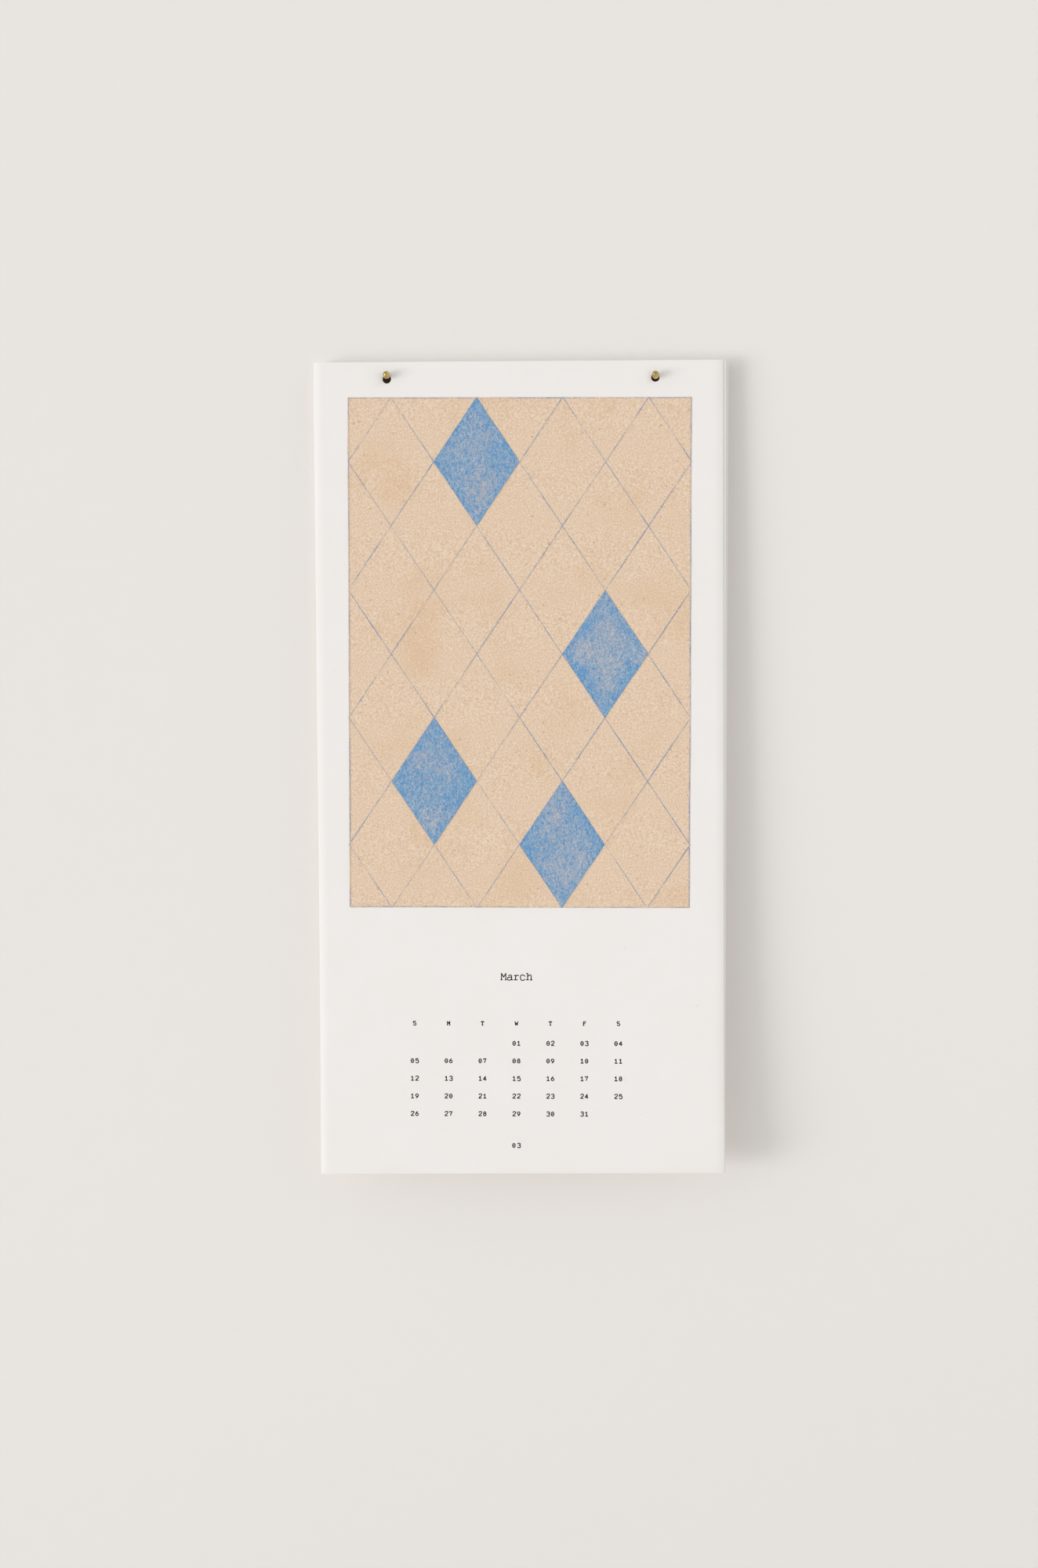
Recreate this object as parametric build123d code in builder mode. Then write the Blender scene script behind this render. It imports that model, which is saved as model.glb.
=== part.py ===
from build123d import *
from math import asin, atan2, cos, degrees, hypot, radians, sin
import os

# A wall calendar: loose paper leaves with two punched holes, hung on two round-head nails.
# Millimetres. +Z is up, the wall is the plane Y = 0 and the leaves face -Y.
# The origin lies on the wall, midway between the two nails.

# Leaves
LEAF_COUNT = 12
LEAF_WIDTH = 152.4
LEAF_HEIGHT = 304.8
LEAF_THICKNESS = 0.35
AIR_GAP = 0.05  # between one leaf and the next
WALL_GAP = 1.0  # from the last leaf's top edge to the wall
LEAF_LEAN = 6.7  # how much further from the wall than its top the foot of a flat leaf would be
FOOT_CURL = 3.0  # how much further still the foot curls out
HOLE_SIDE_MARGIN = 26.2  # from a side edge to the centre of a hole
HOLE_TOP_MARGIN = 6.35  # from the top edge to the centre of a hole
HANG_CLEARANCE = 0.02  # between the top of a hole and the shank that it hangs on

# Each leaf is trimmed a little to one side of its holes and a little askew, front leaf first
TRIM_SPREAD = 2.1  # from the leaf trimmed furthest left to the one furthest right
TRIM_SKEW = 1.86  # sideways slant of the front leaf's side edges, from top to foot
trim_offset_shares = (-0.5, 0.02, -0.06, 0.08, 0.44, 0.36, 0.5, 0.2, 0.4, 0.12, 0.3, 0.46)
trim_skew_shares = (1.0, 0.56, 0.64, 0.5, 0.16, 0.24, 0.12, 0.36, 0.2, 0.44, 0.3, 0.1)

# Nails
SHANK_DIAMETER = 1.2
HOLE_PLAY = 2.0  # how much wider a hole is than the shank
HEAD_PLAY = 0.7  # how much wider a hole is than the head, so that a leaf lifts off over it
HEAD_RIM = 1.6  # straight side of the head
HEAD_DOME = 1.25  # height of the dome on it
HEAD_TILT = 25  # degrees by which the head is bent up
NAIL_STANDOUT = 1.2  # bare shank between the front leaf and the head
WALL_DEPTH = 9.0  # smooth shank in the wall
TIP_LENGTH = 2.0  # cone at the end
SMOOTH_LEAD = 0.4  # smooth shank in front of the wall
GRIP_RINGS = 10  # rings that the heading tool leaves on the shank, from the head to the smooth part
GRIP_DEPTH = 0.08

# Picture on the front leaf
PICTURE_SIDE_MARGIN = 12.1  # from a side edge of a squarely trimmed leaf
PICTURE_TOP_MARGIN = 13.3  # from the top edge
PANEL_HEIGHT = 100.5  # blank paper below the picture, for the month and its dates
PICTURE_OFFSET = -0.5  # sideways from the middle of the nails
KRAFT_FILM = 0.04  # thickness of the printed ground
PENCIL_FILM = 0.04  # thickness of the pencil on it
PENCIL_WIDTH = 0.5  # of a drawn line
DIAMONDS_ACROSS = 4
DIAMONDS_DOWN = 4
# Centres of the filled diamonds, across and down the picture from its lower left corner
filled_diamond_shares = ((0.375, 0.875), (0.75, 0.5), (0.25, 0.25), (0.625, 0.125))

OVERRUN = 2.0  # how far a cutting outline reaches past what it cuts
slab_margin_share = 0.1  # of a leaf's width and height, added before the leaf is cut to its outline

hole_diameter = SHANK_DIAMETER + HOLE_PLAY
head_radius = (hole_diameter - HEAD_PLAY) / 2
shank_radius = SHANK_DIAMETER / 2
hole_spacing = LEAF_WIDTH - 2 * HOLE_SIDE_MARGIN
hole_height = HANG_CLEARANCE - HOLE_PLAY / 2
leaf_pitch = LEAF_THICKNESS + AIR_GAP
stand_off = WALL_GAP + LEAF_COUNT * leaf_pitch - AIR_GAP

# Seen from the side, a leaf leans out from the wall as a flat sheet down to the foot of the picture,
# and curls further out below it. The leaves are nested: their faces are offsets of the front face.
lean = atan2(LEAF_LEAN, LEAF_HEIGHT)
down = Vector(-sin(lean), -cos(lean))
back = Vector(cos(lean), -sin(lean))
top_edge = Vector(-stand_off, hole_height + HOLE_TOP_MARGIN)
flat_start = top_edge - down * LEAF_HEIGHT * slab_margin_share
flat_end = top_edge + down * (LEAF_HEIGHT - PANEL_HEIGHT)
curl_radius = (PANEL_HEIGHT**2 + FOOT_CURL**2) / (2 * FOOT_CURL)
curl_centre = flat_end - back * curl_radius
curl_sweep = degrees(asin(PANEL_HEIGHT / curl_radius)) * (1 + slab_margin_share)
slab_half_width = LEAF_WIDTH * (1 + slab_margin_share) / 2
outline_reach = stand_off + LEAF_LEAN + FOOT_CURL + OVERRUN


def curled_section(front, rear):
    with BuildSketch(Plane.YZ) as section:
        with BuildLine():
            ends = []
            for offset in (front, rear):
                flat = Line(flat_start + back * offset, flat_end + back * offset)
                curl = CenterArc(curl_centre, curl_radius + offset, -degrees(lean), -curl_sweep)
                ends.append((flat @ 0, curl @ 1))
            for start, end in zip(*ends):
                Line(start, end)
        make_face()
    return section.sketch


def leaf_turn(skew_share):
    return asin(TRIM_SKEW * skew_share / LEAF_HEIGHT)


def turned_hole_height(turn):
    return hole_height + hole_spacing / 2 * sin(turn)


def keep(piece, name):
    piece.part.label = name
    export_step(piece.part, f"parts/{name}.step")


os.makedirs("parts", exist_ok=True)

# Leaves, each with its own trim, hung from the hole that is lower
for number in range(LEAF_COUNT):
    turn = leaf_turn(trim_skew_shares[number])
    front = number * leaf_pitch
    leaf_plane = Plane(
        origin=(0, 0, turned_hole_height(turn)),
        x_dir=(cos(turn), 0, sin(turn)),
        z_dir=(0, -1, 0),
    )
    with BuildPart() as leaf:
        extrude(curled_section(front, front + LEAF_THICKNESS), amount=slab_half_width, both=True)
        with BuildSketch(leaf_plane):
            with Locations((TRIM_SPREAD * trim_offset_shares[number], HOLE_TOP_MARGIN - LEAF_HEIGHT / 2)):
                Rectangle(LEAF_WIDTH, LEAF_HEIGHT)
            with GridLocations(hole_spacing, 0, 2, 1):
                Circle(hole_diameter / 2, mode=Mode.SUBTRACT)
        extrude(amount=outline_reach, mode=Mode.INTERSECT)
    keep(leaf, f"leaf_{number + 1:02d}" if number else "front_leaf")

# Picture, square to the nails, on the flat part of the front leaf
picture_width = LEAF_WIDTH - 2 * PICTURE_SIDE_MARGIN
picture_height = LEAF_HEIGHT - PICTURE_TOP_MARGIN - PANEL_HEIGHT
picture_top = turned_hole_height(leaf_turn(trim_skew_shares[0])) + HOLE_TOP_MARGIN - PICTURE_TOP_MARGIN
picture_plane = Plane(
    origin=(PICTURE_OFFSET, 0, picture_top - picture_height / 2),
    x_dir=(1, 0, 0),
    z_dir=(0, -1, 0),
)
pencil_face = -KRAFT_FILM - PENCIL_FILM

with BuildPart() as kraft_ground:
    extrude(curled_section(-KRAFT_FILM, 0), amount=slab_half_width, both=True)
    with BuildSketch(picture_plane):
        Rectangle(picture_width, picture_height)
    extrude(amount=outline_reach, mode=Mode.INTERSECT)
keep(kraft_ground, "kraft_ground")

# Diamond lattice: each line slants one diamond down for each diamond across
diamond_width = picture_width / DIAMONDS_ACROSS
diamond_height = picture_height / DIAMONDS_DOWN
lattice_steps = DIAMONDS_ACROSS + DIAMONDS_DOWN
lattice_slant = degrees(atan2(diamond_height, diamond_width))
lattice_length = lattice_steps * hypot(diamond_width, diamond_height)

with BuildSketch(picture_plane, mode=Mode.PRIVATE) as lattice:
    for slant in (-lattice_slant, lattice_slant):
        with GridLocations(diamond_width, 0, lattice_steps, 1):
            Rectangle(lattice_length, PENCIL_WIDTH, rotation=slant)
    Rectangle(picture_width, picture_height, mode=Mode.INTERSECT)
    with BuildSketch():  # line drawn along the picture's edge
        Rectangle(picture_width, picture_height)
        Rectangle(
            picture_width - 2 * PENCIL_WIDTH,
            picture_height - 2 * PENCIL_WIDTH,
            mode=Mode.SUBTRACT,
        )

with BuildPart() as pencil_lines:
    extrude(curled_section(pencil_face, -KRAFT_FILM), amount=slab_half_width, both=True)
    extrude(lattice.sketch, amount=outline_reach, mode=Mode.INTERSECT)
keep(pencil_lines, "pencil_lines")

with BuildPart() as pencil_diamonds:
    extrude(curled_section(pencil_face, -KRAFT_FILM), amount=slab_half_width, both=True)
    with BuildSketch(picture_plane):
        for across_share, down_share in filled_diamond_shares:
            with Locations((picture_width * (across_share - 1 / 2), picture_height * (down_share - 1 / 2))):
                Polygon(
                    (-diamond_width / 2, 0),
                    (0, -diamond_height / 2),
                    (diamond_width / 2, 0),
                    (0, diamond_height / 2),
                )
        add(lattice.sketch_local, mode=Mode.SUBTRACT)
    extrude(amount=outline_reach, mode=Mode.INTERSECT)
keep(pencil_diamonds, "pencil_diamonds")

# Nails, square to the wall as far as the head
nail_plane = Plane(origin=(hole_spacing / 2, 0, 0))
head_seat = -stand_off - NAIL_STANDOUT
tilt = radians(HEAD_TILT)
head_plane = Plane(
    origin=(hole_spacing / 2, head_seat, 0),
    x_dir=(1, 0, 0),
    z_dir=(0, -sin(tilt), -cos(tilt)),
)
grip_pitch = (-SMOOTH_LEAD - head_seat) / GRIP_RINGS
grip_profile = []
for ring in range(GRIP_RINGS):
    crest = -SMOOTH_LEAD - ring * grip_pitch
    grip_profile += [(shank_radius, crest), (shank_radius - GRIP_DEPTH, crest - grip_pitch / 2)]

with BuildPart() as hanging_nails:
    with BuildSketch(nail_plane):
        with BuildLine():
            Polyline(
                (0, head_seat - HEAD_RIM / 2),
                (0, WALL_DEPTH + TIP_LENGTH),
                (shank_radius, WALL_DEPTH),
                *grip_profile,
                (shank_radius + GRIP_DEPTH, head_seat - HEAD_RIM / 2),
                close=True,
            )
        make_face()
    revolve(axis=Axis(nail_plane.origin, (0, 1, 0)))
    with BuildSketch(head_plane):
        with BuildLine():
            Polyline((0, HEAD_RIM + HEAD_DOME), (0, 0), (head_radius, 0), (head_radius, HEAD_RIM))
            TangentArc((0, HEAD_RIM + HEAD_DOME), (head_radius, HEAD_RIM), tangent=(-1, 0))
        make_face()
    revolve(axis=Axis(head_plane.origin, head_plane.y_dir))
    mirror(about=Plane.YZ)
keep(hanging_nails, "hanging_nails")
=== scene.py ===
from math import asin, atan2, ceil, cos, pi, radians, sin, sqrt, tan

import bmesh
import bpy
from mathutils import Matrix, Vector, noise


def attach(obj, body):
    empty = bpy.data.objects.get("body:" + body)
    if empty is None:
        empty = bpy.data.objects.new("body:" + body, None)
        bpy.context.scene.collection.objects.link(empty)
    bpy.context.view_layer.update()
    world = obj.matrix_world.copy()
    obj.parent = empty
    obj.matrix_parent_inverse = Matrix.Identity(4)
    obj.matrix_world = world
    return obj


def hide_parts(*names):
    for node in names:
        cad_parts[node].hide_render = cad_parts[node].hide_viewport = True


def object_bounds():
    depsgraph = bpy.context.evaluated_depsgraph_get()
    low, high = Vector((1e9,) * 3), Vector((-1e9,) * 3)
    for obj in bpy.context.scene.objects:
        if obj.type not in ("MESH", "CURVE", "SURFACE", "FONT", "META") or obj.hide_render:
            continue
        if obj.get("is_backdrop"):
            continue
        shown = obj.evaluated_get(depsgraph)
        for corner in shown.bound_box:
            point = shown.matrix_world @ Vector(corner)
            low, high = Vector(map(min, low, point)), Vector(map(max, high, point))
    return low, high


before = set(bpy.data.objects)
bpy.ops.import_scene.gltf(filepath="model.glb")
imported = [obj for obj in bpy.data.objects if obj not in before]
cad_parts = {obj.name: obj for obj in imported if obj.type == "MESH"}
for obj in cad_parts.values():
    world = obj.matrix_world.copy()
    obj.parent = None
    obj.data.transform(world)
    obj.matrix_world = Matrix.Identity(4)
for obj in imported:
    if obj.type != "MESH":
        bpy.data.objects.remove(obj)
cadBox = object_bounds()
mm = 0.001  # the scene is in metres
tiny = 1e-6

# Sheets of paper, punched, hung on the nails and leaning out from the wall
leaf = {
    "count": 12,
    "width": 152.4 * mm,
    "height": 304.8 * mm,
    "thickness": 0.35 * mm,
    "airGap": 0.05 * mm,
    "wallGap": 1.0 * mm,
    "lean": 6.7 * mm,
    "footCurl": 3.0 * mm,
    "panelHeight": 100.5 * mm,  # the part below the picture, which curls
    "holeSpacing": 100.0 * mm,
    "holeTopMargin": 6.35 * mm,
    "holeRadius": 1.6 * mm,
    "holeDrop": 0.98 * mm,  # from a nail's axis down to the middle of a hole
    "trimSpread": 2.1 * mm,
    "trimSkew": 1.86 * mm,
    "trimOffsetShares": (-0.5, 0.02, -0.06, 0.08, 0.44, 0.36, 0.5, 0.2, 0.4, 0.12, 0.3, 0.46),
    "trimSkewShares": (1.0, 0.56, 0.64, 0.5, 0.16, 0.24, 0.12, 0.36, 0.2, 0.44, 0.3, 0.1),
    "cellsAcross": 48,
    "cellsDown": 96,
    "holeSides": 48,
    "holeClearing": 3.5 * mm,  # half-width of the patch that is rebuilt round a hole
    "holeShadeReach": 1.001,  # times the hole's radius, within which its side is darker
    "edgeRound": 0.06 * mm,
    "rimAngle": 1,  # radians, above which an edge is rounded
    "ripple": 0.1 * mm,
    "rippleScale": 11.0,
}
leafPitch = leaf["thickness"] + leaf["airGap"]
standOff = leaf["wallGap"] + leaf["count"] * leafPitch - leaf["airGap"]
leanAngle = atan2(leaf["lean"], leaf["height"])
down = Vector((-sin(leanAngle), -cos(leanAngle)))  # along a leaf, in Y and Z
back = Vector((cos(leanAngle), -sin(leanAngle)))  # through the stack, towards the wall
topEdge = Vector((-standOff, leaf["holeTopMargin"] - leaf["holeDrop"]))
flatEnd = topEdge + down * (leaf["height"] - leaf["panelHeight"])
curlRadius = (leaf["panelHeight"] ** 2 + leaf["footCurl"] ** 2) / (2 * leaf["footCurl"])
curlCentre = flatEnd - back * curlRadius


# Y of a point that stands proud of the front leaf's face, or behind it where proud is negative
def faceDepth(x, z, proud):
    start = topEdge - back * proud
    if z > (flatEnd - back * proud).y:
        depth = start.x - tan(leanAngle) * (start.y - z)
    else:
        depth = curlCentre.x + sqrt((curlRadius - proud) ** 2 - (z - curlCentre.y) ** 2)
    return depth + leaf["ripple"] * noise.noise(Vector((x, z, 0)) * leaf["rippleScale"])


# Flat work is modelled in X and Y, with Z as the height above the paper, and is then hung up
def hangUp(bm):
    for vert in bm.verts:
        x, z, proud = vert.co
        vert.co = (x, faceDepth(x, z, proud), z)


def thicken(bm, depth):
    grown = bmesh.ops.extrude_face_region(bm, geom=bm.faces[:], use_keep_orig=True)
    raised = [part for part in grown["geom"] if isinstance(part, bmesh.types.BMVert)]
    bmesh.ops.translate(bm, vec=(0, 0, depth), verts=raised)
    bmesh.ops.recalc_face_normals(bm, faces=bm.faces[:])


def placePiece(name, bm, material, nodes=(), sharpAngle=35):
    mesh = bpy.data.meshes.new(name)
    for face in bm.faces:
        face.smooth = True
    bm.to_mesh(mesh)
    bm.free()
    mesh.set_sharp_from_angle(angle=radians(sharpAngle))
    mesh.materials.append(material)
    piece = bpy.data.objects.new(name, mesh)
    bpy.context.scene.collection.objects.link(piece)
    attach(piece, "root")
    if nodes:
        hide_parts(*nodes)
    return piece


# Materials

def srgb(red, green, blue):
    def toLinear(level):
        share = level / 255
        return share / 12.92 if share <= 0.04045 else ((share + 0.055) / 1.055) ** 2.4

    return (toLinear(red), toLinear(green), toLinear(blue), 1)


def addNode(tree, kind, inputs=(), **settings):
    made = tree.nodes.new(kind)
    for name, value in settings.items():
        setattr(made, name, value)
    for socket, value in dict(inputs).items():
        if isinstance(value, bpy.types.NodeSocket):
            tree.links.new(value, made.inputs[socket])
        else:
            made.inputs[socket].default_value = value
    return made


def newGroup(name, inputs, outputs):
    group = bpy.data.node_groups.new(name, "ShaderNodeTree")
    group.interface.new_socket("Vector", in_out="INPUT", socket_type="NodeSocketVector")
    for socket in inputs:
        group.interface.new_socket(socket, in_out="INPUT", socket_type="NodeSocketFloat")
    for socket in outputs:
        group.interface.new_socket(socket, in_out="OUTPUT", socket_type="NodeSocketFloat")
    return group, group.nodes.new("NodeGroupInput"), group.nodes.new("NodeGroupOutput")


def addGroup(tree, group, inputs):
    return addNode(tree, "ShaderNodeGroup", inputs, node_tree=group)


def mixColour(tree, share, first, second):
    return addNode(tree, "ShaderNodeMix", {0: share, 6: first, 7: second}, data_type="RGBA").outputs[2]


def doMath(tree, operation, first, second=0.0, clamp=False):
    made = addNode(tree, "ShaderNodeMath", {0: first, 1: second}, operation=operation, use_clamp=clamp)
    return made.outputs[0]


def fitRange(tree, value, low, high, newLow=0.0, newHigh=1.0):
    made = addNode(
        tree,
        "ShaderNodeMapRange",
        {"Value": value, "From Min": low, "From Max": high, "To Min": newLow, "To Max": newHigh},
    )
    return made.outputs[0]


noiseSpan = (0.3, 0.7)  # holds most of a noise texture's values


# Tooth of a sheet: fine grain, slow mottling and short fibres that lie every way
def makeToothGroup():
    finish = {"swirlScale": 130.0, "swirl": 0.02, "fibreSpan": (0.6, 1.6), "fibreHeight": 0.5}
    group, given, result = newGroup(
        "paperTooth", ["Grain Scale", "Mottle Scale", "Fibre Scale"], ["Grain", "Mottle", "Height"]
    )
    vector = given.outputs["Vector"]
    grain = addNode(
        group,
        "ShaderNodeTexNoise",
        {"Vector": vector, "Scale": given.outputs["Grain Scale"], "Detail": 3.0, "Roughness": 0.6},
    )
    mottle = addNode(
        group,
        "ShaderNodeTexNoise",
        {"Vector": vector, "Scale": given.outputs["Mottle Scale"], "Detail": 4.0, "Roughness": 0.55},
    )
    swirl = addNode(
        group, "ShaderNodeTexNoise", {"Vector": vector, "Scale": finish["swirlScale"], "Detail": 2.0}
    )
    bent = addNode(
        group,
        "ShaderNodeVectorMath",
        {0: swirl.outputs["Color"], 1: (finish["swirl"],) * 3},
        operation="MULTIPLY",
    )
    moved = addNode(group, "ShaderNodeVectorMath", {0: vector, 1: bent.outputs[0]}, operation="ADD")
    fibre = addNode(
        group,
        "ShaderNodeTexNoise",
        {"Vector": moved.outputs[0], "Scale": given.outputs["Fibre Scale"], "Detail": 2.0},
        noise_type="RIDGED_MULTIFRACTAL",
    )
    fibreShare = fitRange(group, fibre.outputs[0], *finish["fibreSpan"])
    raised = doMath(group, "MULTIPLY", fibreShare, finish["fibreHeight"])
    height = doMath(group, "ADD", grain.outputs[0], raised)
    group.links.new(grain.outputs[0], result.inputs["Grain"])
    group.links.new(mottle.outputs[0], result.inputs["Mottle"])
    group.links.new(height, result.inputs["Height"])
    return group


# Flecks: a random share of cells holds one ragged spot each
def makeFleckGroup():
    finish = {"raggedScale": 2600.0, "ragged": 0.1}
    group, given, result = newGroup("flecks", ["Scale", "Share", "Radius"], ["Mask"])
    ragged = addNode(
        group,
        "ShaderNodeTexNoise",
        {"Vector": given.outputs["Vector"], "Scale": finish["raggedScale"], "Detail": 1.0},
    )
    cells = addNode(
        group, "ShaderNodeTexVoronoi", {"Vector": given.outputs["Vector"], "Scale": given.outputs["Scale"]}
    )
    shift = fitRange(group, ragged.outputs[0], *noiseSpan, -finish["ragged"], finish["ragged"])
    distance = doMath(group, "ADD", cells.outputs["Distance"], shift)
    spot = doMath(group, "LESS_THAN", distance, given.outputs["Radius"])
    cellValue = addNode(group, "ShaderNodeSeparateColor", {0: cells.outputs["Color"]})
    chosen = doMath(group, "LESS_THAN", cellValue.outputs[0], given.outputs["Share"])
    group.links.new(doMath(group, "MULTIPLY", spot, chosen), result.inputs["Mask"])
    return group


toothGroup = makeToothGroup()
fleckGroup = makeFleckGroup()


def addTooth(tree, place, finish):
    scales = zip(("Grain Scale", "Mottle Scale", "Fibre Scale"), finish["toothScales"])
    return addGroup(tree, toothGroup, {"Vector": place, **dict(scales)})


def addFlecks(tree, place, scale, share, radius):
    made = addGroup(tree, fleckGroup, {"Vector": place, "Scale": scale, "Share": share, "Radius": radius})
    return made.outputs["Mask"]


def newMaterial(name, roughness=0.5, metallic=0.0, specular=0.5):
    material = bpy.data.materials.new(name)
    material.use_nodes = True
    tree = material.node_tree
    shader = tree.nodes["Principled BSDF"]
    shader.inputs["Roughness"].default_value = roughness
    shader.inputs["Metallic"].default_value = metallic
    shader.inputs["Specular IOR Level"].default_value = specular
    place = addNode(tree, "ShaderNodeTexCoord").outputs["Object"]
    return material, tree, shader, place


def addBump(tree, shader, height, strength, distance):
    bump = addNode(tree, "ShaderNodeBump", {"Height": height, "Strength": strength, "Distance": distance})
    tree.links.new(bump.outputs[0], shader.inputs["Normal"])


def makePaper():
    finish = {
        "sheet": srgb(238, 235, 232.5),
        "shade": srgb(236, 232.5, 229.5),
        "fleck": srgb(231, 227, 222),
        "fleckScale": 330.0,
        "fleckShare": 0.012,
        "fleckRadius": 0.16,
        "toothScales": (2400.0, 45.0, 420.0),  # grain, mottling, fibres
        "roughness": (0.78, 0.92),
        "bump": 0.1,
        "bumpDepth": 0.05 * mm,
    }
    material, tree, shader, place = newMaterial("heavyPaper", specular=0.25)
    tooth = addTooth(tree, place, finish)
    flecks = addFlecks(tree, place, finish["fleckScale"], finish["fleckShare"], finish["fleckRadius"])
    share = fitRange(tree, tooth.outputs["Mottle"], *noiseSpan)
    colour = mixColour(tree, share, finish["sheet"], finish["shade"])
    colour = mixColour(tree, flecks, colour, finish["fleck"])
    tree.links.new(colour, shader.inputs["Base Color"])
    roughness = fitRange(tree, tooth.outputs["Grain"], *noiseSpan, *finish["roughness"])
    tree.links.new(roughness, shader.inputs["Roughness"])
    addBump(tree, shader, tooth.outputs["Height"], finish["bump"], finish["bumpDepth"])
    return material


# Kraft colour over the surface, for the ground and for what shows between pencil strokes
def kraftColour(tree, place):
    finish = {
        "light": srgb(237, 216, 193),
        "dark": srgb(209, 180, 151),
        "warm": srgb(216, 180, 143),
        "pale": srgb(243, 229, 209),
        "brown": srgb(186, 141, 101),
        "paleFlecks": (760.0, 0.3, 0.22),  # scale, share, radius
        "paleCover": 0.4,
        "brownFlecks": (480.0, 0.06, 0.2),
        "brownCover": 0.45,
        "toothScales": (1700.0, 38.0, 300.0),
        "warmSpan": (0.5, 0.75),
        "warmCover": 0.5,
    }
    tooth = addTooth(tree, place, finish)
    pale = doMath(tree, "MULTIPLY", addFlecks(tree, place, *finish["paleFlecks"]), finish["paleCover"])
    brown = doMath(tree, "MULTIPLY", addFlecks(tree, place, *finish["brownFlecks"]), finish["brownCover"])
    grain = fitRange(tree, tooth.outputs["Grain"], *noiseSpan)
    warmth = fitRange(tree, tooth.outputs["Mottle"], *finish["warmSpan"], 0.0, finish["warmCover"])
    colour = mixColour(tree, grain, finish["dark"], finish["light"])
    colour = mixColour(tree, warmth, colour, finish["warm"])
    colour = mixColour(tree, pale, colour, finish["pale"])
    colour = mixColour(tree, brown, colour, finish["brown"])
    return colour, tooth


def makeKraft():
    finish = {"roughness": (0.82, 0.95), "bump": 0.15, "bumpDepth": 0.05 * mm}
    material, tree, shader, place = newMaterial("kraftGround", specular=0.2)
    colour, tooth = kraftColour(tree, place)
    tree.links.new(colour, shader.inputs["Base Color"])
    roughness = fitRange(tree, tooth.outputs["Grain"], *noiseSpan, *finish["roughness"])
    tree.links.new(roughness, shader.inputs["Roughness"])
    addBump(tree, shader, tooth.outputs["Height"], finish["bump"], finish["bumpDepth"])
    return material


# Coloured pencil: wax that catches the tooth of the kraft, more where the hand pressed harder
pencil = {
    "fill": {
        "wax": srgb(118, 164, 200),
        "waxDeep": srgb(80, 138, 187),
        "leastCover": 0.25,
        "strokeTurn": radians(35),
        "strokeStretch": 0.5,
    },
    "line": {
        "wax": srgb(146, 158, 184),
        "waxDeep": srgb(122, 137, 170),
        "leastCover": 0.1,
        "strokeTurn": 0.0,
        "strokeStretch": 1.0,
    },
    "strokes": {"Scale": 1300.0, "Detail": 3.0, "Distortion": 1.5},
    "strokeSpan": (0.36, 0.64),
    "strokeSwing": 0.14,
    "grit": {"Scale": 1500.0, "Detail": 4.0, "Roughness": 0.75},
    "gritSwing": 0.5,
    "roughness": (0.9, 0.6),  # bare kraft, full wax
    "bump": 0.15,
    "bumpDepth": 0.05 * mm,
}


def makePencil(name, use):
    finish = pencil[use]
    material, tree, shader, place = newMaterial(name, specular=0.3)
    ground, tooth = kraftColour(tree, place)
    turned = addNode(
        tree,
        "ShaderNodeMapping",
        {
            "Vector": place,
            "Rotation": (0, finish["strokeTurn"], 0),
            "Scale": (1, 1, finish["strokeStretch"]),
        },
    )
    strokes = addNode(tree, "ShaderNodeTexNoise", {"Vector": turned.outputs[0], **pencil["strokes"]})
    grit = addNode(tree, "ShaderNodeTexNoise", {"Vector": place, **pencil["grit"]})
    pressed = addNode(tree, "ShaderNodeAttribute", attribute_name="press")
    strokeShare = fitRange(tree, strokes.outputs[0], *pencil["strokeSpan"])
    gritShift = fitRange(tree, grit.outputs[0], *noiseSpan, -pencil["gritSwing"], pencil["gritSwing"])
    strokeShift = fitRange(tree, strokeShare, 0.0, 1.0, pencil["strokeSwing"], -pencil["strokeSwing"])
    caught = doMath(tree, "ADD", pressed.outputs["Fac"], gritShift)
    cover = doMath(tree, "ADD", caught, strokeShift, clamp=True)
    cover = fitRange(tree, cover, 0.0, 1.0, finish["leastCover"], 1.0)
    waxColour = mixColour(tree, strokeShare, finish["waxDeep"], finish["wax"])
    tree.links.new(mixColour(tree, cover, ground, waxColour), shader.inputs["Base Color"])
    tree.links.new(fitRange(tree, cover, 0.0, 1.0, *pencil["roughness"]), shader.inputs["Roughness"])
    addBump(tree, shader, tooth.outputs["Height"], pencil["bump"], pencil["bumpDepth"])
    return material


def makeInk():
    finish = {
        "ink": srgb(38, 37, 37),
        "thin": srgb(60, 58, 57),
        "thinSpan": (0.45, 0.75),
        "toothScales": (5200.0, 400.0, 900.0),
    }
    material, tree, shader, place = newMaterial("printedInk", 0.75, specular=0.2)
    tooth = addTooth(tree, place, finish)
    share = fitRange(tree, tooth.outputs["Grain"], *finish["thinSpan"])
    tree.links.new(mixColour(tree, share, finish["ink"], finish["thin"]), shader.inputs["Base Color"])
    return material


# Painted shade on the side of a punched hole: dark brown with a grainy mottle, standing in for the shade
# deep in the holes
def makePaintedHoleShade():
    finish = {
        "paintedShade": srgb(120, 98, 78),
        "deeperPaintedShade": srgb(88, 70, 54),
        "deeperShadeSpan": (0.35, 0.65),
        "toothScales": (3000.0, 60.0, 500.0),
    }
    material, tree, shader, place = newMaterial("paintedHoleShade", 0.95, specular=0.1)
    tooth = addTooth(tree, place, finish)
    share = fitRange(tree, tooth.outputs["Grain"], *finish["deeperShadeSpan"])
    tree.links.new(mixColour(tree, share, finish["paintedShade"], finish["deeperPaintedShade"]), shader.inputs["Base Color"])
    return material


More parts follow.
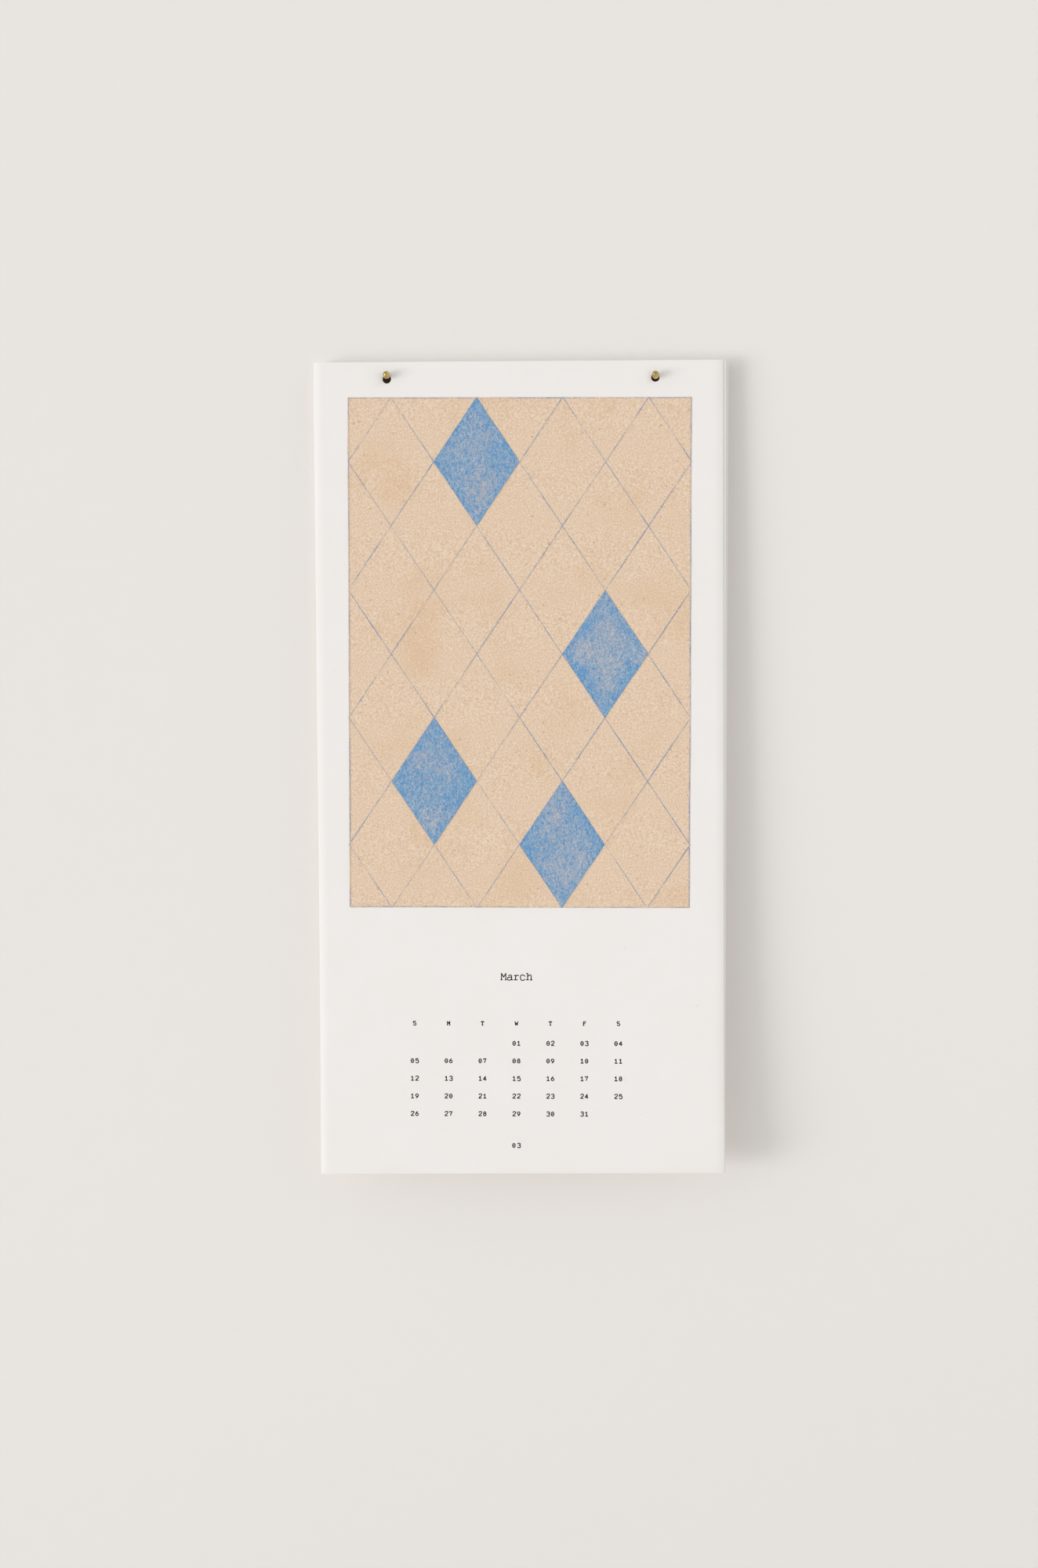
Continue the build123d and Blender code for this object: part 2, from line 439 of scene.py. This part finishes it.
def makeBrass():
    finish = {
        "bright": srgb(202, 180, 118),
        "tarnish": srgb(140, 118, 66),
        "tarnishSpan": (0.45, 0.75),
        "toothScales": (2200.0, 700.0, 1500.0),
        "roughness": (0.14, 0.26),
    }
    material, tree, shader, place = newMaterial("polishedBrass", metallic=1.0)
    tooth = addTooth(tree, place, finish)
    share = fitRange(tree, tooth.outputs["Mottle"], *finish["tarnishSpan"])
    tree.links.new(mixColour(tree, share, finish["bright"], finish["tarnish"]), shader.inputs["Base Color"])
    roughness = fitRange(tree, tooth.outputs["Grain"], *noiseSpan, *finish["roughness"])
    tree.links.new(roughness, shader.inputs["Roughness"])
    return material


paper = makePaper()
kraft = makeKraft()
pencilFill = makePencil("bluePencilFill", "fill")
pencilLine = makePencil("bluePencilLine", "line")
ink = makeInk()
paintedHoleShade = makePaintedHoleShade()
brass = makeBrass()
print("materials made")


# Leaves

# Faces on the side of each hole take the second material, the painted hole shade
def shadeHoles(bm):
    for face in bm.faces:
        place = face.calc_center_median()
        across = Vector((abs(place.x) - leaf["holeSpacing"] / 2, place.y))
        if across.length < leaf["holeRadius"] * leaf["holeShadeReach"]:
            face.material_index = 1


def punchHole(bm, centre):
    def isNear(place):
        return max(abs(place.x - centre.x), abs(place.y - centre.y)) < leaf["holeClearing"]

    def isRim(edge):
        return sum(face in patch for face in edge.link_faces) == 1

    patch = [face for face in bm.faces if isNear(face.calc_center_median())]
    rim = {edge for face in patch for edge in face.edges if isRim(edge)}
    bmesh.ops.delete(bm, geom=patch, context="FACES_KEEP_BOUNDARY")
    ring = bmesh.ops.create_circle(
        bm, segments=leaf["holeSides"], radius=leaf["holeRadius"], matrix=Matrix.Translation(centre)
    )
    rim.update(edge for vert in ring["verts"] for edge in vert.link_edges)
    bmesh.ops.bridge_loops(bm, edges=list(rim))


def leafTurn(number):
    return asin(leaf["trimSkew"] * leaf["trimSkewShares"][number] / leaf["height"])


# A turned leaf hangs from its lower hole
def leafLift(turn):
    return leaf["holeSpacing"] / 2 * sin(turn) - leaf["holeDrop"]


def makeLeaf(number):
    turn = leafTurn(number)
    offset = leaf["trimSpread"] * leaf["trimOffsetShares"][number]
    bm = bmesh.new()
    bmesh.ops.create_grid(bm, x_segments=leaf["cellsAcross"], y_segments=leaf["cellsDown"], size=0.5)
    bmesh.ops.scale(bm, vec=(leaf["width"], leaf["height"], 1), verts=bm.verts)
    bmesh.ops.translate(bm, vec=(offset, leaf["holeTopMargin"] - leaf["height"] / 2, 0), verts=bm.verts)
    for side in (-1, 1):
        punchHole(bm, Vector((side * leaf["holeSpacing"] / 2, 0, 0)))
    thicken(bm, leaf["thickness"])
    rim = [edge for edge in bm.edges if edge.is_manifold and edge.calc_face_angle() > leaf["rimAngle"]]
    bmesh.ops.bevel(
        bm, geom=rim, offset=leaf["edgeRound"], affect="EDGES", segments=2, profile=0.5, material=-1
    )
    shadeHoles(bm)
    bmesh.ops.rotate(bm, cent=(0, 0, 0), matrix=Matrix.Rotation(turn, 3, "Z"), verts=bm.verts)
    depth = -number * leafPitch - leaf["thickness"]
    bmesh.ops.translate(bm, vec=(0, leafLift(turn), depth), verts=bm.verts)
    hangUp(bm)
    name = f"leaf{number + 1:02d}" if number else "frontLeaf"
    node = f"leaf_{number + 1:02d}" if number else "front_leaf"
    piece = placePiece(name, bm, paper, [node])
    # The painted shade for the sides of the holes
    piece.data.materials.append(paintedHoleShade)


for number in range(leaf["count"]):
    makeLeaf(number)
print("leaves hung:", leaf["count"])

# Picture: a kraft ground with a lattice of pencil lines and a few diamonds coloured in
picture = {
    "width": 128.2 * mm,
    "height": 191.0 * mm,
    "offset": -0.5 * mm,  # sideways from the middle of the nails
    "topMargin": 13.3 * mm,
    "diamondsAcross": 4,
    "diamondsDown": 4,
    "filled": ((0.375, 0.875), (0.75, 0.5), (0.25, 0.25), (0.625, 0.125)),
    "kraftFilm": 0.04 * mm,
    "kraftCells": (96, 144),
    "edgeWander": 0.1 * mm,
    "edgeWanderScale": 260,
    "fillFilm": 0.02 * mm,
    "fillCells": 44,
    "fillWander": 0.22 * mm,
    "fillWanderScale": 9,
    "lineWidth": 0.5 * mm,
    "lineFilm": 0.02 * mm,
    "lineStep": 1.2 * mm,
    "lineWander": 0.16 * mm,
    "lineWanderScale": 22,
    "lineWidthShares": (0.74, 0.3),  # of the line's width: in the middle, and how much it swings
    "lineWidthScale": 180,
    "firstLineSeed": 10,
    "seedStep": 7.3,
}
pictureTop = leafLift(leafTurn(0)) + leaf["holeTopMargin"] - picture["topMargin"]
pictureMiddle = Vector((picture["offset"], pictureTop - picture["height"] / 2))
diamondWidth = picture["width"] / picture["diamondsAcross"]
diamondHeight = picture["height"] / picture["diamondsDown"]
lineLevel = picture["kraftFilm"]
fillLevel = lineLevel + 4 * picture["lineFilm"]  # over the two ways of lines and the picture's edge


# A slow wander from -1 to 1, different for each seed
def wander(x, y, scale, seed):
    return noise.noise(Vector((x * scale, y * scale, seed * picture["seedStep"])))


def makeKraftGround():
    bm = bmesh.new()
    across, along = picture["kraftCells"]
    bmesh.ops.create_grid(bm, x_segments=across, y_segments=along, size=0.5)
    bmesh.ops.scale(bm, vec=(picture["width"], picture["height"], 1), verts=bm.verts)
    for vert in [vert for vert in bm.verts if vert.is_boundary]:
        x, y, _ = vert.co
        if abs(abs(x) - picture["width"] / 2) < tiny:
            outward = wander(x, y, picture["edgeWanderScale"], 1) - 0.5
            vert.co.x += picture["edgeWander"] * outward * (1 if x > 0 else -1)
        if abs(abs(y) - picture["height"] / 2) < tiny:
            outward = wander(x, y, picture["edgeWanderScale"], 2) - 0.5
            vert.co.y += picture["edgeWander"] * outward * (1 if y > 0 else -1)
    bmesh.ops.translate(bm, vec=(*pictureMiddle, 0), verts=bm.verts)
    thicken(bm, picture["kraftFilm"])
    hangUp(bm)
    placePiece("kraftGround", bm, kraft, ["kraft_ground"])


makeKraftGround()

# How hard the pencil pressed, with a slow and a fine swing as (share, scale, seed)
press = {
    "fill": 0.7,
    "fillBorder": 0.2,
    "borderStart": 0.62,  # of the way from a diamond's middle to its side
    "fillSwings": ((0.24, 120, 5), (0.2, 420, 6)),
    "line": 0.5,
    "edgeLine": 0.28,
    "lineSwings": ((0.7, 60, 8), (0.5, 300, 9)),
}


def swing(x, z, swings):
    return sum(share * wander(x, z, scale, seed) for share, scale, seed in swings)


# Writes how hard the pencil pressed at each point, from a function of the flat place
def setPress(piece, pressAt):
    pressed = piece.data.attributes.new("press", "FLOAT", "POINT")
    for vert in piece.data.vertices:
        pressed.data[vert.index].value = pressAt(vert.co.x, vert.co.z)


def makeDiamonds():
    bm = bmesh.new()
    half = Vector((diamondWidth, diamondHeight)) / 2
    cells = picture["fillCells"]
    centres = [
        pictureMiddle + Vector(((across - 0.5) * picture["width"], (along - 0.5) * picture["height"]))
        for across, along in picture["filled"]
    ]
    for seed, centre in enumerate(centres, 3):
        made = bmesh.ops.create_grid(bm, x_segments=cells, y_segments=cells, size=0.5)
        for vert in made["verts"]:
            u, v, _ = vert.co
            swell = 1.0
            if max(abs(u), abs(v)) > 0.5 - tiny:
                swell += picture["fillWander"] / half.x * wander(u, v, picture["fillWanderScale"], seed)
            vert.co.x = centre.x + (u - v) * half.x * swell
            vert.co.y = centre.y + (u + v) * half.y * swell
    bmesh.ops.translate(bm, vec=(0, 0, fillLevel), verts=bm.verts)
    thicken(bm, picture["fillFilm"])
    hangUp(bm)
    piece = placePiece("pencilDiamonds", bm, pencilFill, ["pencil_diamonds"])

    # Borders are gone over twice, the middle is lighter and patchy
    def pressAt(x, z):
        reach = min(abs(x - centre.x) / half.x + abs(z - centre.y) / half.y for centre in centres)
        border = max(0.0, (reach - press["borderStart"]) / (1 - press["borderStart"]))
        return press["fill"] + press["fillBorder"] * border + swing(x, z, press["fillSwings"])

    setPress(piece, pressAt)


makeDiamonds()


# Ends of the lattice line that crosses the picture's mid-height at x, slanting by +1 or -1
def latticeEnds(x, slant):
    run = slant * diamondWidth / diamondHeight
    heights = [-picture["height"] / 2, picture["height"] / 2]
    sides = sorted((side * picture["width"] / 2 - x) / run for side in (-1, 1))
    low, high = max(heights[0], sides[0]), min(heights[1], sides[1])
    return Vector((x + run * low, low)), Vector((x + run * high, high))


def addStroke(bm, start, end, level, seed):
    length = (end - start).length
    along = (end - start).normalized()
    across = Vector((-along.y, along.x))
    steps = max(1, ceil(length / picture["lineStep"]))
    made = bmesh.ops.create_grid(bm, x_segments=steps, y_segments=1, size=0.5)
    usual, varied = picture["lineWidthShares"]
    for vert in made["verts"]:
        share, side = vert.co.x + 0.5, vert.co.y * 2
        swell = wander(share * length, 0, picture["lineWidthScale"], seed)
        width = picture["lineWidth"] * (usual + varied * swell)
        drift = picture["lineWander"] * wander(share * length, 1, picture["lineWanderScale"], seed)
        place = pictureMiddle + start + along * share * length + across * (drift + side * width / 2)
        vert.co = (*place, level)


def makeLines():
    bm = bmesh.new()
    steps = picture["diamondsAcross"] + picture["diamondsDown"]
    seed = picture["firstLineSeed"]
    for layer, slant in enumerate((-1, 1)):
        for index in range(steps):
            x = (index - (steps - 1) / 2) * diamondWidth
            start, end = latticeEnds(x, slant)
            if (end - start).length > picture["lineStep"] and end.y > start.y:
                addStroke(bm, start, end, lineLevel + layer * picture["lineFilm"], seed)
                seed += 1
    inset = picture["lineWidth"] / 2
    right, top = picture["width"] / 2 - inset, picture["height"] / 2 - inset
    corners = [Vector((-right, -top)), Vector((right, -top)), Vector((right, top)), Vector((-right, top))]
    for index, corner in enumerate(corners):
        level = lineLevel + (2 + index % 2) * picture["lineFilm"]
        addStroke(bm, corner, corners[(index + 1) % 4], level, seed + index)
    thicken(bm, picture["lineFilm"])
    hangUp(bm)
    piece = placePiece("pencilLines", bm, pencilLine, ["pencil_lines"])

    # The picture's edge is drawn lightly
    def pressAt(x, z):
        place = Vector((x, z)) - pictureMiddle
        inside = min(picture["width"] / 2 - abs(place.x), picture["height"] / 2 - abs(place.y))
        usual = press["line"] if inside > picture["lineWidth"] else press["edgeLine"]
        return usual + swing(x, z, press["lineSwings"])

    setPress(piece, pressAt)


makeLines()
print("picture drawn")

# Month panel, in typewriter letters of one stroke weight
panel = {
    "middle": -1.6 * mm,
    "title": {"words": "March", "base": -225.95 * mm, "height": 2.45 * mm, "pitch": 2.42 * mm},
    "weekdays": "SMTWTFS",
    "columnPitch": 12.82 * mm,
    "dayHeight": 1.5 * mm,
    "dayPitch": 1.72 * mm,
    "weekdayHeight": 1.32 * mm,
    "weekdayBase": -243.1 * mm,
    "firstRowBase": -250.75 * mm,
    "rowPitch": 6.67 * mm,
    "firstColumn": 3,
    "days": 31,
    "number": {"words": "03", "base": -289.35 * mm, "height": 1.5 * mm, "pitch": 1.85 * mm},
    "spread": 1.2,  # widens each letter
    "stroke": 0.39 * mm,
    "overlap": 0.12 * mm,  # by which straight strokes run past their ends, to close the corners
    "film": 0.02 * mm,
    "ovalSides": 16,
    "curveSteps": 4,
}
# Strokes of each letter, at cap height 1. Ovals are (middle x, middle y, half-width, half-height)
letterStrokes = {
    "0": {"ovals": [(0, 0.5, 0.27, 0.5)], "straight": [[(0, 0.43), (0, 0.57)]]},
    "1": {"straight": [[(-0.2, 0.8), (0.02, 1), (0.02, 0)], [(-0.22, 0), (0.26, 0)]]},
    "2": {
        "curved": [[(-0.26, 0.76), (-0.22, 1.06), (0.32, 1.08), (0.3, 0.58), (-0.08, 0.34), (-0.27, 0)]],
        "straight": [[(-0.27, 0), (0.28, 0)]],
    },
    "3": {
        "curved": [
            [(-0.25, 0.85), (-0.16, 1.06), (0.3, 1.06), (0.3, 0.55), (-0.04, 0.54)],
            [(-0.04, 0.54), (0.33, 0.56), (0.33, -0.05), (-0.2, -0.06), (-0.27, 0.17)],
        ]
    },
    "4": {"straight": [[(0.12, 0), (0.12, 1), (-0.28, 0.3), (0.3, 0.3)]]},
    "5": {
        "straight": [[(0.24, 1), (-0.19, 1), (-0.23, 0.56)]],
        "curved": [[(-0.23, 0.56), (0, 0.7), (0.33, 0.62), (0.33, -0.06), (-0.18, -0.07), (-0.27, 0.16)]],
    },
    "6": {"ovals": [(0, 0.31, 0.27, 0.31)], "curved": [[(0.18, 1), (-0.22, 0.86), (-0.27, 0.31)]]},
    "7": {
        "straight": [[(-0.27, 0.9), (-0.27, 1), (0.27, 1)]],
        "curved": [[(0.27, 1), (0, 0.55), (-0.06, 0)]],
    },
    "8": {"ovals": [(0, 0.76, 0.22, 0.24), (0, 0.27, 0.27, 0.27)]},
    "9": {"ovals": [(0, 0.69, 0.27, 0.31)], "curved": [[(0.27, 0.69), (0.22, 0.14), (-0.18, 0)]]},
    "F": {
        "straight": [
            [(0.28, 0.84), (0.28, 1), (-0.2, 1), (-0.2, 0)],
            [(-0.2, 0.52), (0.14, 0.52)],
            [(-0.3, 0), (-0.06, 0)],
        ]
    },
    "M": {
        "straight": [
            [(-0.28, 0), (-0.28, 1), (0, 0.42), (0.28, 1), (0.28, 0)],
            [(-0.36, 0), (-0.18, 0)],
            [(0.18, 0), (0.36, 0)],
        ]
    },
    "S": {
        "curved": [
            [
                (0.25, 0.82),
                (0.2, 1.06),
                (-0.3, 1.08),
                (-0.32, 0.56),
                (0.34, 0.5),
                (0.33, -0.07),
                (-0.22, -0.06),
                (-0.28, 0.18),
            ]
        ]
    },
    "T": {
        "straight": [
            [(-0.28, 0.84), (-0.28, 1), (0.28, 1), (0.28, 0.84)],
            [(0, 1), (0, 0)],
            [(-0.13, 0), (0.13, 0)],
        ]
    },
    "W": {"straight": [[(-0.33, 1), (-0.19, 0), (0, 0.6), (0.19, 0), (0.33, 1)]]},
    "a": {
        "curved": [
            [(-0.22, 0.56), (-0.12, 0.72), (0.22, 0.78), (0.2, 0.4)],
            [(0.2, 0.4), (-0.1, 0.44), (-0.34, 0.32), (-0.3, -0.05), (0.1, -0.06), (0.2, 0.2)],
        ],
        "straight": [[(0.2, 0.45), (0.2, 0), (0.32, 0)]],
    },
    "c": {
        "curved": [[(0.25, 0.5), (0.2, 0.74), (-0.32, 0.78), (-0.32, -0.08), (0.2, -0.06), (0.28, 0.14)]]
    },
    "h": {
        "straight": [
            [(-0.36, 1), (-0.22, 1), (-0.22, 0)],
            [(-0.36, 0), (-0.1, 0)],
            [(0.24, 0.42), (0.24, 0)],
            [(0.12, 0), (0.36, 0)],
        ],
        "curved": [[(-0.22, 0.4), (-0.12, 0.72), (0.25, 0.8), (0.24, 0.42)]],
    },
    "r": {
        "straight": [[(-0.28, 0.68), (-0.12, 0.68), (-0.12, 0)], [(-0.3, 0), (0.1, 0)]],
        "curved": [[(-0.12, 0.38), (-0.04, 0.68), (0.16, 0.76), (0.29, 0.6)]],
    },
}


def addSpline(curve, points, kind, closed=False):
    spline = curve.splines.new(kind)
    spline.points.add(len(points) - 1)
    for point, place in zip(spline.points, points):
        point.co = (*place, 0, 1)
    spline.use_cyclic_u = closed
    if kind == "NURBS":
        spline.order_u = 3
        spline.use_endpoint_u = not closed
        spline.resolution_u = panel["curveSteps"]


def addLetter(curve, letter, middle, base, height):
    def toPage(point):
        return Vector((middle + point[0] * height * panel["spread"], base + point[1] * height))

    strokes = letterStrokes[letter]
    for points in strokes.get("straight", []):
        corners = [toPage(point) for point in points]
        for start, end in zip(corners, corners[1:]):
            past = (end - start).normalized() * panel["overlap"]
            addSpline(curve, [start - past, end + past], "POLY")
    for points in strokes.get("curved", []):
        addSpline(curve, [toPage(point) for point in points], "NURBS")
    for x, y, halfWidth, halfHeight in strokes.get("ovals", []):
        turns = [2 * pi * side / panel["ovalSides"] for side in range(panel["ovalSides"])]
        ring = [(x + halfWidth * cos(turn), y + halfHeight * sin(turn)) for turn in turns]
        addSpline(curve, [toPage(point) for point in ring], "POLY", closed=True)


def writeLine(curve, words, middle, base, height, pitch):
    for index, letter in enumerate(words):
        addLetter(curve, letter, middle + (index - (len(words) - 1) / 2) * pitch, base, height)


def printPiece(name, write):
    curve = bpy.data.curves.new(name, "CURVE")
    curve.dimensions = "3D"
    curve.bevel_depth = panel["stroke"] / 2
    curve.bevel_resolution = 1
    curve.use_fill_caps = True
    write(curve)
    drawn = bpy.data.objects.new(name + "Line", curve)
    bpy.context.scene.collection.objects.link(drawn)
    mesh = bpy.data.meshes.new_from_object(drawn.evaluated_get(bpy.context.evaluated_depsgraph_get()))
    bm = bmesh.new()
    bm.from_mesh(mesh)
    bpy.data.objects.remove(drawn)
    bpy.data.curves.remove(curve)
    bpy.data.meshes.remove(mesh)
    bmesh.ops.scale(bm, vec=(1, 1, panel["film"] / panel["stroke"]), verts=bm.verts)  # pressed flat
    bmesh.ops.translate(bm, vec=(0, 0, panel["film"] / 2), verts=bm.verts)
    hangUp(bm)
    placePiece(name, bm, ink)


def columnMiddle(column):
    return panel["middle"] + (column - (len(panel["weekdays"]) - 1) / 2) * panel["columnPitch"]


def writeTitle(curve):
    writeLine(curve, middle=panel["middle"], **panel["title"])


def writeWeekdays(curve):
    for column, letter in enumerate(panel["weekdays"]):
        addLetter(curve, letter, columnMiddle(column), panel["weekdayBase"], panel["weekdayHeight"])


def writeDates(curve):
    for day in range(panel["days"]):
        row, column = divmod(day + panel["firstColumn"], len(panel["weekdays"]))
        middle, base = columnMiddle(column), panel["firstRowBase"] - row * panel["rowPitch"]
        writeLine(curve, f"{day + 1:02d}", middle, base, panel["dayHeight"], panel["dayPitch"])


def writeNumber(curve):
    writeLine(curve, middle=panel["middle"], **panel["number"])


printPiece("monthTitle", writeTitle)
printPiece("weekdayRow", writeWeekdays)
printPiece("dateGrid", writeDates)
printPiece("monthNumber", writeNumber)
print("month panel printed")

# Nails
nail = {
    "shankRadius": 0.6 * mm,
    "headRadius": 1.25 * mm,
    "headRim": 1.6 * mm,
    "headTilt": radians(25),
    "headEase": 0.15 * mm,
    "easeShare": 0.3,  # of the ease, at the middle of the rounded rim
    "standout": 1.2 * mm,
    "wallDepth": 9.0 * mm,
    "tipLength": 2.0 * mm,
    "smoothLead": 0.4 * mm,
    "gripRings": 10,
    "gripDepth": 0.08 * mm,
    "domeSteps": 14,
    "sides": 64,
    "sharpAngle": 50,
    "weld": 0.001 * mm,
}


# Turns an outline of (radius, distance along) points about a line through start
def turnOutline(bm, outline, start, along):
    side = Vector((1, 0, 0))
    verts = [bm.verts.new(start + side * radius + along * distance) for radius, distance in outline]
    edges = [bm.edges.new(pair) for pair in zip(verts, verts[1:])]
    bmesh.ops.spin(
        bm, geom=verts + edges, cent=start, axis=along, angle=2 * pi, steps=nail["sides"], use_merge=True
    )


def makeNail(name, x):
    seat = standOff + nail["standout"]
    valley = nail["shankRadius"] - nail["gripDepth"]
    crest = nail["shankRadius"] + nail["gripDepth"]
    shank = [(0, seat + nail["headRim"] / 2), (crest, seat + nail["headRim"] / 2)]
    gripPitch = (seat - nail["smoothLead"]) / nail["gripRings"]
    for ring in range(nail["gripRings"]):
        shank.append((valley, seat - gripPitch * (ring + 0.5)))
        shank.append((nail["shankRadius"], seat - gripPitch * (ring + 1)))
    shank.append((nail["shankRadius"], -nail["wallDepth"]))
    shank.append((0, -nail["wallDepth"] - nail["tipLength"]))
    eased = nail["headEase"] * nail["easeShare"]
    head = [(0, 0), (nail["headRadius"] - nail["headEase"], 0), (nail["headRadius"] - eased, eased)]
    head.append((nail["headRadius"], nail["headEase"]))
    for step in range(nail["domeSteps"] + 1):
        angle = pi / 2 * step / nail["domeSteps"]
        head.append((nail["headRadius"] * cos(angle), nail["headRim"] + nail["headRadius"] * sin(angle)))
    bm = bmesh.new()
    turnOutline(bm, shank, Vector((x, 0, 0)), Vector((0, -1, 0)))
    tilt = nail["headTilt"]
    turnOutline(bm, head, Vector((x, -seat, 0)), Vector((0, -cos(tilt), sin(tilt))))
    bmesh.ops.remove_doubles(bm, verts=bm.verts[:], dist=nail["weld"])
    bmesh.ops.recalc_face_normals(bm, faces=bm.faces[:])
    placePiece(name, bm, brass, ["hanging_nails"], sharpAngle=nail["sharpAngle"])


makeNail("leftNail", -leaf["holeSpacing"] / 2)
makeNail("rightNail", leaf["holeSpacing"] / 2)
print("nails turned")

# Wall, floor, light and camera
studio = {
    "stageSize": 4.0,
    "floorHeight": -1.1,
    "wallColour": srgb(231.5, 228, 224.5),
    # Painted shade on the wall round each nail, seen through the holes
    "nailHoleShadeColour": srgb(96, 78, 64),
    "nailHoleShadeRadius": 2.1 * mm,
    "nailHoleShadeDrop": 0.6 * mm,
    "roughness": 0.9,
    "specular": 0.1,
    "floorColour": srgb(232, 229, 226),
    "keyFrom": Vector((-1.8, -1.0, -0.3)),
    "keySpread": radians(26),
    "keyPower": 1.275,
    "middle": Vector((0, 0, -0.147)),
    "ambient": 0.45,
    "sideAmbient": 1.18,
    "leftAmbient": 0.25,
    "topAmbient": 0.28,
    "backdropColour": srgb(232, 229, 226),
    "backPower": 9.5,
    "backSize": 1.6,
    "backPlace": Vector((0, 1.5, 0.1)),
}


# Painted shade: the wall is painted dark where the nails go in, standing in for the shade deep in the
# holes, and shows only through them
def paintNailHoleShade(tree, shader):
    place = addNode(tree, "ShaderNodeTexCoord").outputs["Object"]
    x, _, z = addNode(tree, "ShaderNodeSeparateXYZ", {0: place}).outputs
    across = doMath(tree, "SUBTRACT", doMath(tree, "ABSOLUTE", x), leaf["holeSpacing"] / 2)
    below = doMath(tree, "ADD", z, studio["nailHoleShadeDrop"])
    squares = doMath(tree, "ADD", doMath(tree, "POWER", across, 2.0), doMath(tree, "POWER", below, 2.0))
    paintedShadeMask = doMath(tree, "LESS_THAN", squares, studio["nailHoleShadeRadius"] ** 2)
    colour = mixColour(tree, paintedShadeMask, studio["wallColour"], studio["nailHoleShadeColour"])
    tree.links.new(colour, shader.inputs["Base Color"])


# Nothing is in the way of a view, or of light, from behind
def openFromBehind(tree, shader):
    behind = addNode(tree, "ShaderNodeNewGeometry").outputs["Backfacing"]
    shadow = addNode(tree, "ShaderNodeLightPath").outputs["Is Shadow Ray"]
    clear = addNode(tree, "ShaderNodeBsdfTransparent").outputs[0]
    share = doMath(tree, "MAXIMUM", behind, shadow)
    mix = addNode(tree, "ShaderNodeMixShader", {0: share, 1: shader.outputs[0], 2: clear})
    tree.links.new(mix.outputs[0], tree.nodes["Material Output"].inputs["Surface"])


def makeStage(name, turn, place, colour):
    bm = bmesh.new()
    bmesh.ops.create_grid(bm, x_segments=1, y_segments=1, size=studio["stageSize"] / 2)
    bmesh.ops.rotate(bm, cent=(0, 0, 0), matrix=Matrix.Rotation(turn, 3, "X"), verts=bm.verts)
    bmesh.ops.translate(bm, vec=place, verts=bm.verts)
    mesh = bpy.data.meshes.new(name)
    bm.to_mesh(mesh)
    bm.free()
    material = bpy.data.materials.new(name + "Paint")
    material.use_nodes = True
    tree = material.node_tree
    shader = tree.nodes["Principled BSDF"]
    shader.inputs["Base Color"].default_value = colour
    shader.inputs["Roughness"].default_value = studio["roughness"]
    shader.inputs["Specular IOR Level"].default_value = studio["specular"]
    mesh.materials.append(material)
    made = bpy.data.objects.new(name, mesh)
    bpy.context.scene.collection.objects.link(made)
    made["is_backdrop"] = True
    return tree, shader


wallTree, wallShader = makeStage("wall", pi / 2, (0, 0, 0), studio["wallColour"])
paintNailHoleShade(wallTree, wallShader)
openFromBehind(wallTree, wallShader)
makeStage("floor", 0, (0, 0, studio["floorHeight"]), studio["floorColour"])


def addLamp(name, kind, place, settings):
    lamp = bpy.data.lights.new(name, kind)
    for setting, value in settings.items():
        setattr(lamp, setting, value)
    made = bpy.data.objects.new(name, lamp)
    bpy.context.scene.collection.objects.link(made)
    made.location = place
    made.rotation_euler = (studio["middle"] - place).to_track_quat("-Z", "Y").to_euler()


keyPlace = studio["middle"] + studio["keyFrom"]
keySettings = {"energy": studio["keyPower"], "angle": studio["keySpread"]}
backSettings = {"energy": studio["backPower"], "size": studio["backSize"]}
addLamp("keyLamp", "SUN", keyPlace, keySettings)
addLamp("backLamp", "AREA", studio["backPlace"], backSettings)


# The room is brightest at its two sides, and a view past the wall shows a plain backdrop
def lightRoom():
    world = bpy.data.worlds.new("room")
    world.use_nodes = True
    bpy.context.scene.world = world
    tree = world.node_tree
    direction = addNode(tree, "ShaderNodeTexCoord").outputs["Generated"]
    right, _, above = addNode(tree, "ShaderNodeSeparateXYZ", {0: direction}).outputs
    toSides = doMath(tree, "MULTIPLY", right, studio["sideAmbient"])
    toRight = doMath(tree, "SUBTRACT", toSides, studio["leftAmbient"])
    fromSides = doMath(tree, "MULTIPLY", toRight, right)
    fromAbove = doMath(tree, "MULTIPLY", above, studio["topAmbient"])
    level = doMath(tree, "ADD", doMath(tree, "ADD", fromSides, fromAbove), studio["ambient"])
    rays = addNode(tree, "ShaderNodeLightPath").outputs
    seen = doMath(tree, "MAXIMUM", rays["Is Camera Ray"], rays["Is Glossy Ray"])
    colour = mixColour(tree, seen, level, studio["backdropColour"])
    tree.links.new(colour, tree.nodes["Background"].inputs["Color"])


lightRoom()

camera = {
    "place": Vector((14.6, -1007.0, -67.2)) * mm,
    "pitch": 4.853,
    "yaw": 0.877,
    "lens": 61.2,
    "clipStart": 0.01,
}
cameraData = bpy.data.cameras.new("camera")
cameraData.lens = camera["lens"]
cameraData.clip_start = camera["clipStart"]
cameraObject = bpy.data.objects.new("camera", cameraData)
bpy.context.scene.collection.objects.link(cameraObject)
cameraObject.location = camera["place"]
cameraObject.rotation_euler = (radians(90 - camera["pitch"]), 0, radians(camera["yaw"]))
bpy.context.scene.camera = cameraObject
bpy.context.scene.view_settings.view_transform = "Standard"
print("studio lit, camera placed")

boxes = {"cad": cadBox, "visual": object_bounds()}
{name: [list(corner) for corner in box] for name, box in boxes.items()}
